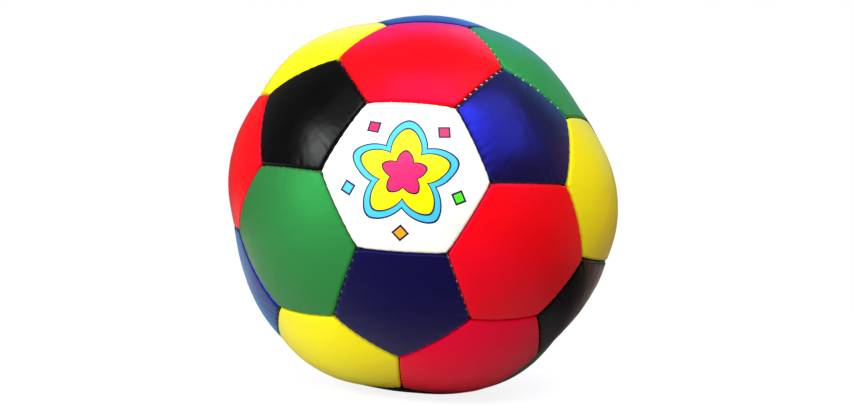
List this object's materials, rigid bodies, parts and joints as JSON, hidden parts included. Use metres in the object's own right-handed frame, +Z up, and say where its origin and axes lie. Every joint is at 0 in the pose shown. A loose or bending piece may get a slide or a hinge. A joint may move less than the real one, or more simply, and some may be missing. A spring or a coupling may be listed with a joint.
{
  "type": "soft toy ball",
  "caption": "Soft stuffed play ball, sewn like a football from coloured pentagon and hexagon vinyl panels, with turned-in seams.",
  "frame": {"origin": "middle of the flat under the bottom pentagon, on the surface that the ball stands on", "axes": "+Z up through the middles of the bottom and top pentagons, -Y towards the front, where the picture's white hexagon is"},
  "size_m": [0.1794, 0.182, 0.1749],
  "materials": {
    "vinyl_red": "smooth PVC leatherette, glossy, red",
    "vinyl_yellow": "smooth PVC leatherette, glossy, yellow",
    "vinyl_green": "smooth PVC leatherette, glossy, green",
    "vinyl_blue": "smooth PVC leatherette, glossy, blue",
    "vinyl_black": "smooth PVC leatherette, glossy, black",
    "vinyl_white": "smooth PVC leatherette, glossy, white",
    "sewing_thread": "twisted polyester sewing thread, off-white",
    "polyester_fibre": "loose polyester fibre filling, white"
  },
  "bodies": {
    "root": {"top_pentagon_blue": "vinyl_blue", "upper_hexagon_1_red": "vinyl_red", "upper_hexagon_2_green": "vinyl_green", "upper_hexagon_3_yellow": "vinyl_yellow", "upper_hexagon_4_green": "vinyl_green", "upper_hexagon_5_yellow": "vinyl_yellow", "upper_pentagon_1_blue": "vinyl_blue", "upper_pentagon_2_black": "vinyl_black", "upper_pentagon_3_blue": "vinyl_blue", "upper_pentagon_4_black": "vinyl_black", "upper_pentagon_5_black": "vinyl_black", "upper_belt_hexagon_1_white": "vinyl_white", "upper_belt_hexagon_2_yellow": "vinyl_yellow", "upper_belt_hexagon_3_green": "vinyl_green", "upper_belt_hexagon_4_yellow": "vinyl_yellow", "upper_belt_hexagon_5_red": "vinyl_red", "lower_belt_hexagon_1_red": "vinyl_red", "lower_belt_hexagon_2_red": "vinyl_red", "lower_belt_hexagon_3_white": "vinyl_white", "lower_belt_hexagon_4_green": "vinyl_green", "lower_belt_hexagon_5_green": "vinyl_green", "lower_pentagon_1_blue": "vinyl_blue", "lower_pentagon_2_black": "vinyl_black", "lower_pentagon_3_blue": "vinyl_blue", "lower_pentagon_4_black": "vinyl_black", "lower_pentagon_5_blue": "vinyl_blue", "lower_hexagon_1_red": "vinyl_red", "lower_hexagon_2_green": "vinyl_green", "lower_hexagon_3_yellow": "vinyl_yellow", "lower_hexagon_4_red": "vinyl_red", "lower_hexagon_5_yellow": "vinyl_yellow", "bottom_pentagon_black": "vinyl_black", "stuffing": "polyester_fibre", "upper_half_seam_thread": "sewing_thread", "lower_half_seam_thread": "sewing_thread", "joining_seam_thread": "sewing_thread", "closing_seam_thread": "sewing_thread"}
  },
  "joints": []
}
